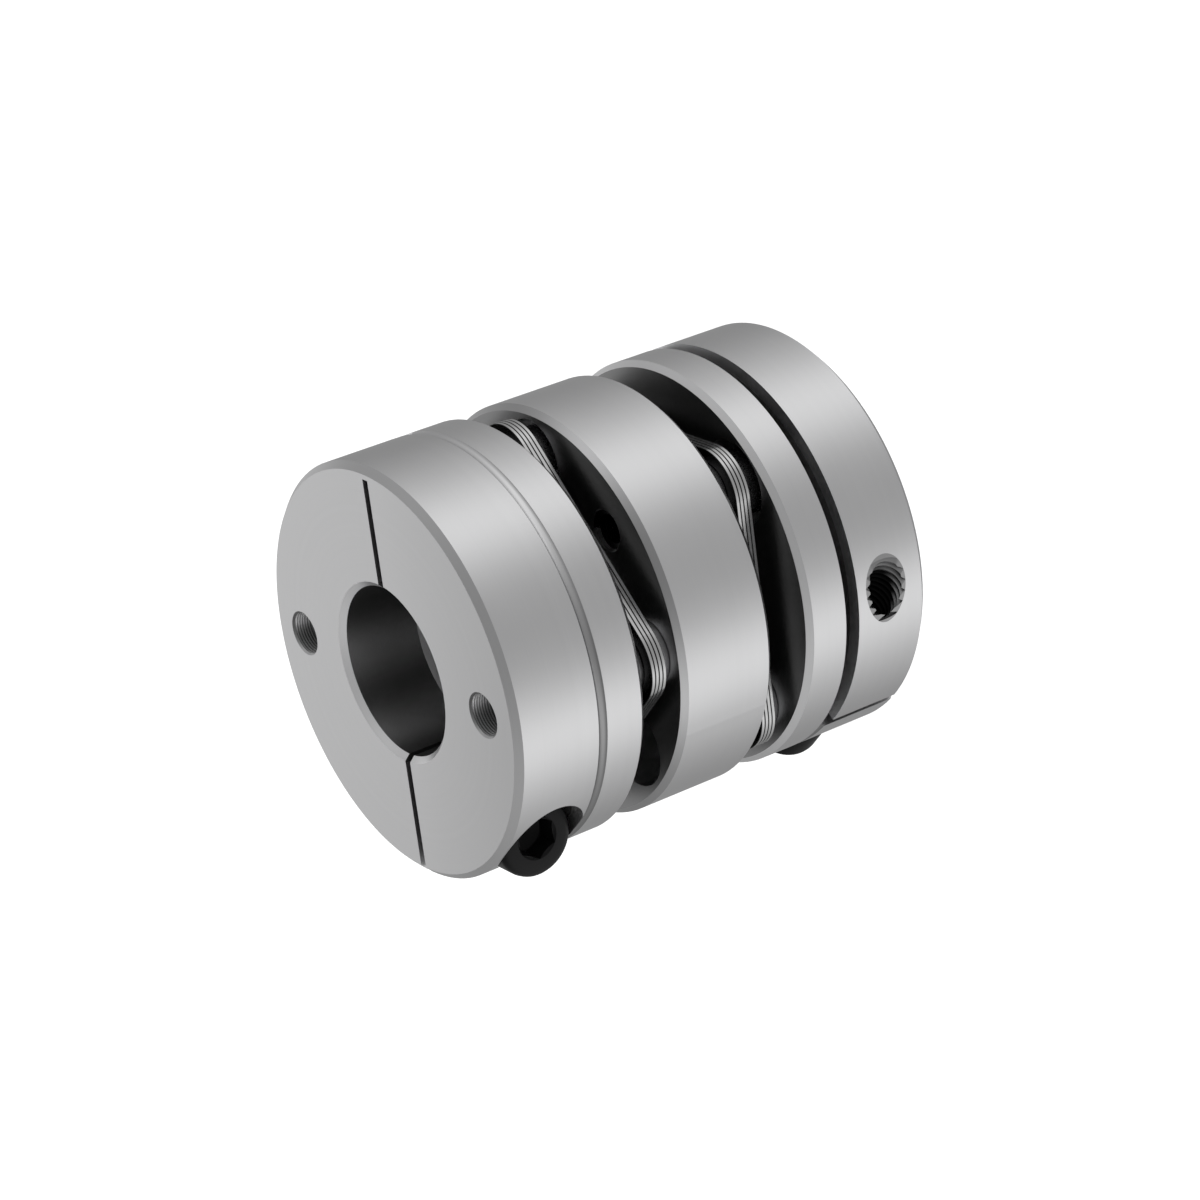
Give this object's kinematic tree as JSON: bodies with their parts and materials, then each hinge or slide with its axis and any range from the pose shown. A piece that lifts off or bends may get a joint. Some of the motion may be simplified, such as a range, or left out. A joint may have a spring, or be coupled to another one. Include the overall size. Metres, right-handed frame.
{
  "type": "diaphragm coupling",
  "caption": "Double diaphragm shaft coupling: a slit clamp hub with a cross screw at each end, a centre ring and packs of thin square steel leaves held by cap screws.",
  "frame": {"origin": "centre of the lower hub's end face, on the coupling's axis", "axes": "+Z along the coupling's axis from the lower hub to the upper one; the slit mouths are at -22.5 degrees (lower hub) and -67.5 degrees (upper hub) from +X"},
  "size_m": [0.044, 0.044, 0.0512],
  "materials": {
    "hub_aluminium": "fine turned, clear anodised",
    "leaf_steel": "bright rolled spring steel",
    "screw_steel": "plain stainless steel",
    "collar_steel": "ground steel",
    "black_steel": "black oxide"
  },
  "bodies": {
    "lower_hub": {"lower_hub": "hub_aluminium", "lower_hub_bush_1": "collar_steel", "lower_hub_bush_2": "collar_steel", "lower_hub_screw_1": "screw_steel", "lower_hub_screw_2": "screw_steel", "lower_hub_washer_1": "collar_steel", "lower_hub_washer_2": "collar_steel"},
    "lower_pack": {"lower_leaf_1": "leaf_steel", "lower_leaf_2": "leaf_steel", "lower_leaf_3": "leaf_steel", "lower_leaf_4": "leaf_steel"},
    "centre_ring": {"centre_ring": "hub_aluminium", "lower_ring_bush_1": "collar_steel", "lower_ring_bush_2": "collar_steel", "lower_ring_screw_1": "screw_steel", "lower_ring_screw_2": "screw_steel", "lower_ring_washer_1": "collar_steel", "lower_ring_washer_2": "collar_steel", "upper_ring_bush_1": "collar_steel", "upper_ring_bush_2": "collar_steel", "upper_ring_screw_1": "screw_steel", "upper_ring_screw_2": "screw_steel", "upper_ring_washer_1": "collar_steel", "upper_ring_washer_2": "collar_steel"},
    "upper_pack": {"upper_leaf_1": "leaf_steel", "upper_leaf_2": "leaf_steel", "upper_leaf_3": "leaf_steel", "upper_leaf_4": "leaf_steel"},
    "upper_hub": {"upper_hub": "hub_aluminium", "upper_hub_bush_1": "collar_steel", "upper_hub_bush_2": "collar_steel", "upper_hub_screw_1": "screw_steel", "upper_hub_screw_2": "screw_steel", "upper_hub_washer_1": "collar_steel", "upper_hub_washer_2": "collar_steel"},
    "lower_clamp_screw": {"lower_clamp_screw": "black_steel"},
    "upper_clamp_screw": {"upper_clamp_screw": "black_steel"}
  },
  "joints": [
    {"name": "lower_hub_tilt", "type": "hinge", "parent": "lower_hub", "child": "lower_pack", "pos_m": [0, 0, 0.0177], "axis": [0.9239, -0.3827, 0], "range_deg": [-1, 1], "stiffness_Nm_per_rad": 2, "deforming": ["lower_leaf_1", "lower_leaf_2", "lower_leaf_3", "lower_leaf_4"]},
    {"name": "lower_ring_tilt", "type": "hinge", "parent": "lower_pack", "child": "centre_ring", "pos_m": [0, 0, 0.0177], "axis": [0.3827, 0.9239, 0], "range_deg": [-1, 1], "stiffness_Nm_per_rad": 2},
    {"name": "upper_ring_tilt", "type": "hinge", "parent": "centre_ring", "child": "upper_pack", "pos_m": [0, 0, 0.0335], "axis": [0.9239, 0.3827, 0], "range_deg": [-1, 1], "stiffness_Nm_per_rad": 2, "deforming": ["upper_leaf_1", "upper_leaf_2", "upper_leaf_3", "upper_leaf_4"]},
    {"name": "upper_hub_tilt", "type": "hinge", "parent": "upper_pack", "child": "upper_hub", "pos_m": [0, 0, 0.0335], "axis": [0.3827, -0.9239, 0], "range_deg": [-1, 1], "stiffness_Nm_per_rad": 2},
    {"name": "lower_clamp_screw_turn", "type": "hinge", "parent": "lower_hub", "child": "lower_clamp_screw", "pos_m": [0.01083, -0.01488, 0.0053], "axis": [-0.3827, -0.9239, 0], "range_deg": [0, 360]},
    {"name": "upper_clamp_screw_turn", "type": "hinge", "parent": "upper_hub", "child": "upper_clamp_screw", "pos_m": [0.01488, -0.01083, 0.0459], "axis": [0.9239, 0.3827, 0], "range_deg": [0, 360]}
  ]
}
